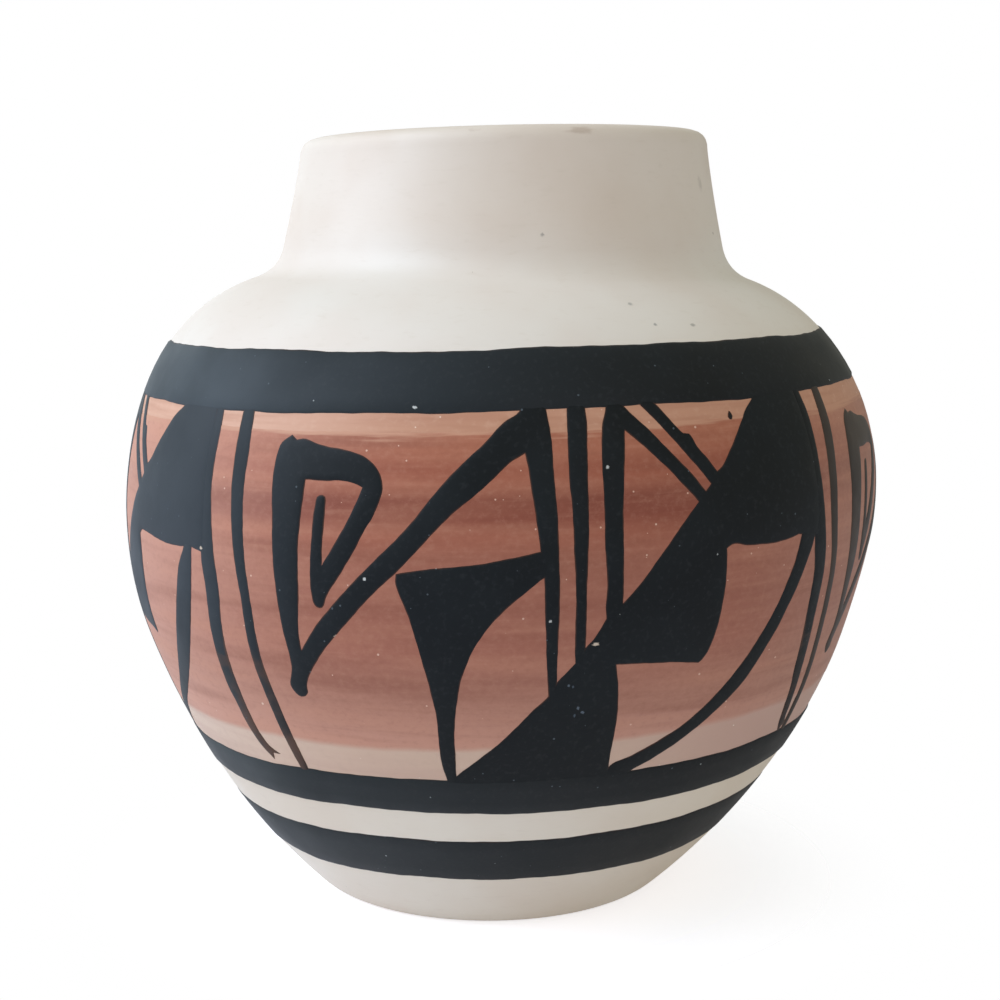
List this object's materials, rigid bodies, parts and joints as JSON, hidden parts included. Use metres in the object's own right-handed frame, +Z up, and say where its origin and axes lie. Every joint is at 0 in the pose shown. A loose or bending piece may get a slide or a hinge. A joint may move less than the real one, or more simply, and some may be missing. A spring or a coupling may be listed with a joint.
{
  "type": "pottery bud vase",
  "caption": "Small round-bellied pottery vase with a short open neck, a terracotta frieze and black slip bands and geometric figures.",
  "frame": {"origin": "centre of the foot, on the surface that the vase stands on", "axes": "+Z up along the axis of the vase; -Y is the front, where the middle of the first repeat of the pattern faces"},
  "size_m": [0.0912, 0.0912, 0.0906],
  "materials": {
    "clay": "smooth matt cream clay, burnished by hand",
    "inner_glaze": "clear gloss glaze over cream clay",
    "terracotta_slip": "matt brushed terracotta slip with level streaks",
    "light_terracotta_slip": "thin matt terracotta slip",
    "pale_wash": "pale matt wash of slip",
    "black_slip": "matt blue-black slip, brushed"
  },
  "bodies": {
    "root": {"clay_body": "clay", "glaze_lining": "inner_glaze", "foot_black_band": "black_slip", "lower_black_band": "black_slip", "lower_wash_strip": "pale_wash", "terracotta_band": "terracotta_slip", "upper_wash_strip": "light_terracotta_slip", "shoulder_black_band": "black_slip", "fret_hook_1": "black_slip", "fret_hook_2": "black_slip", "fret_hook_3": "black_slip", "fret_hook_4": "black_slip", "feather_blade_1": "black_slip", "feather_blade_2": "black_slip", "feather_blade_3": "black_slip", "feather_blade_4": "black_slip", "upright_bar_1": "black_slip", "upright_bar_2": "black_slip", "upright_bar_3": "black_slip", "upright_bar_4": "black_slip", "lightning_figure_1": "black_slip", "lightning_figure_2": "black_slip", "lightning_figure_3": "black_slip", "lightning_figure_4": "black_slip", "arc_line_1": "black_slip", "arc_line_2": "black_slip", "arc_line_3": "black_slip", "arc_line_4": "black_slip", "side_line_1": "black_slip", "side_line_2": "black_slip", "side_line_3": "black_slip", "side_line_4": "black_slip", "upright_line_1": "black_slip", "upright_line_2": "black_slip", "upright_line_3": "black_slip", "upright_line_4": "black_slip"}
  },
  "joints": []
}
